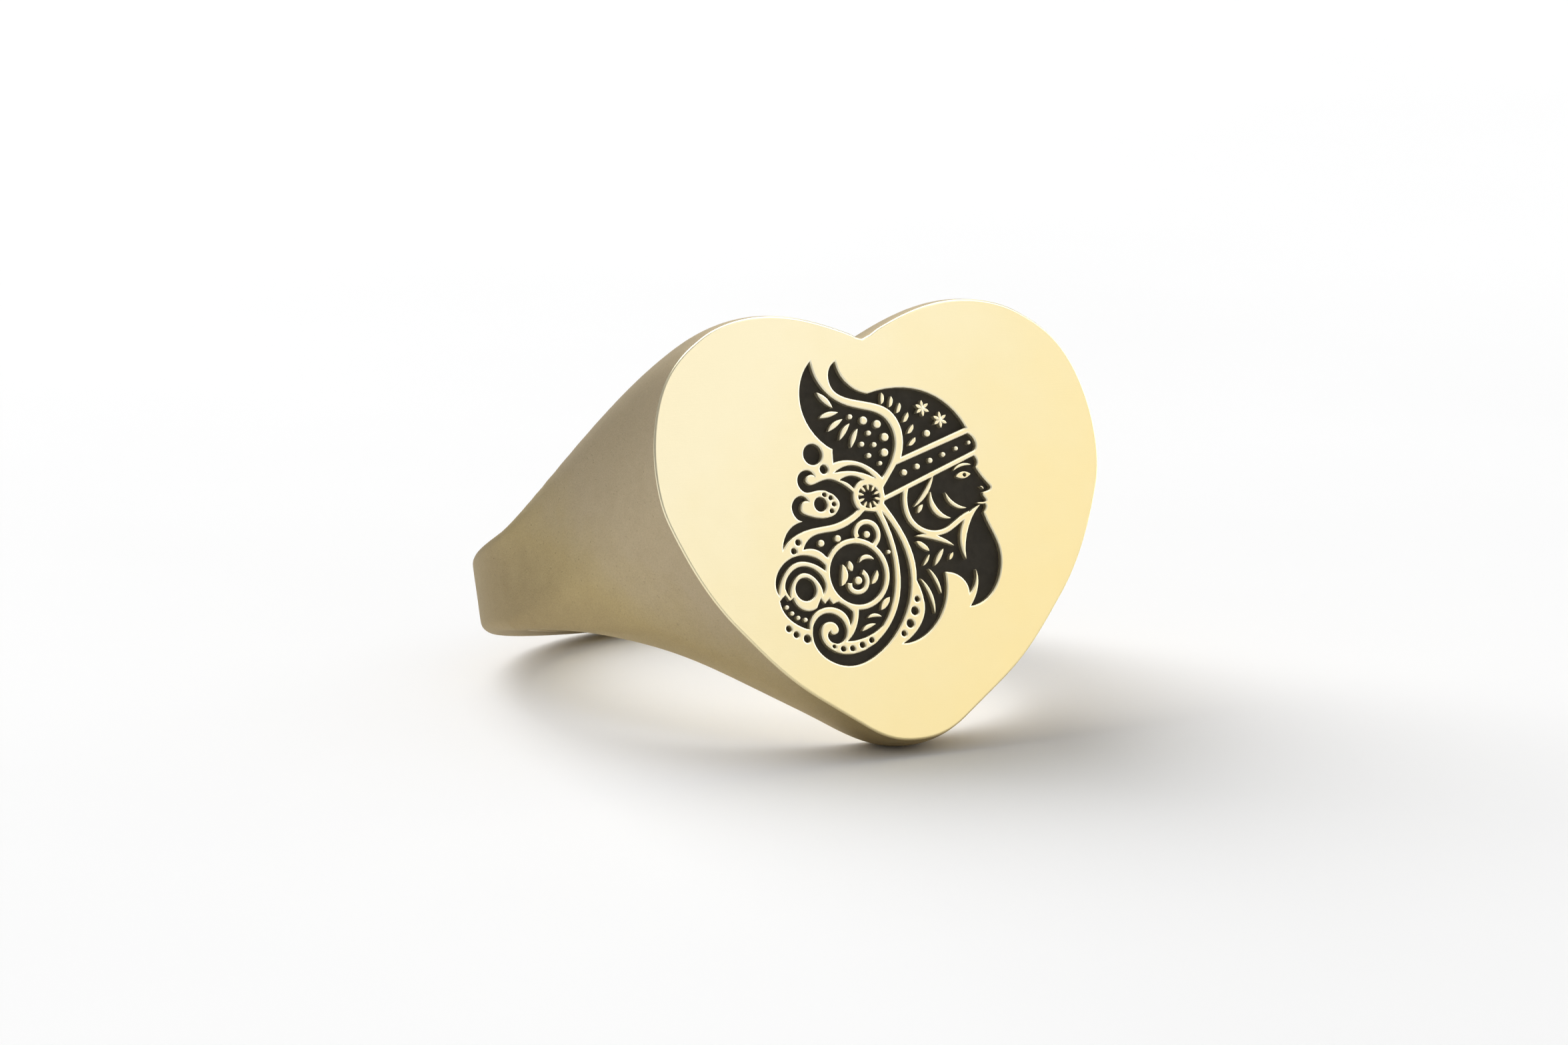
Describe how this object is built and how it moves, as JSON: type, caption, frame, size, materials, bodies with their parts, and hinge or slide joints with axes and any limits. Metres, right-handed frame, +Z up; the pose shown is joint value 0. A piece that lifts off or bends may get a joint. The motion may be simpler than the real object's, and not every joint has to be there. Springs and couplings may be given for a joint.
{
  "type": "signet ring",
  "caption": "Gold signet ring with a flat heart-shaped face, engraved with a winged-helmet head in profile and filled with black enamel",
  "frame": {"origin": "centre of the finger hole, halfway along its axis", "axes": "+Z up with the ring lying on its head and shank, +X to the right of a person facing the heart, +Y from the heart towards the back of the shank"},
  "size_m": [0.0208, 0.0235, 0.0156],
  "materials": {
    "gold": "satin gold, fine matte grain on the sides",
    "black_enamel": "satin black enamel, fired in the recesses"
  },
  "bodies": {
    "root": {"enamel_beard_dots": "black_enamel", "enamel_boss": "black_enamel", "enamel_curl_dots": "black_enamel", "enamel_edge_dots": "black_enamel", "enamel_face_and_beard": "black_enamel", "enamel_front_wing": "black_enamel", "enamel_hair": "black_enamel", "enamel_headband": "black_enamel", "enamel_helmet": "black_enamel", "enamel_lower_band": "black_enamel", "enamel_medallion": "black_enamel", "enamel_scroll": "black_enamel", "enamel_scroll_dots": "black_enamel", "enamel_side_dots": "black_enamel", "enamel_target": "black_enamel", "enamel_upper_curls": "black_enamel", "enamel_wing_crescents": "black_enamel", "ring_body": "gold"}
  },
  "joints": []
}
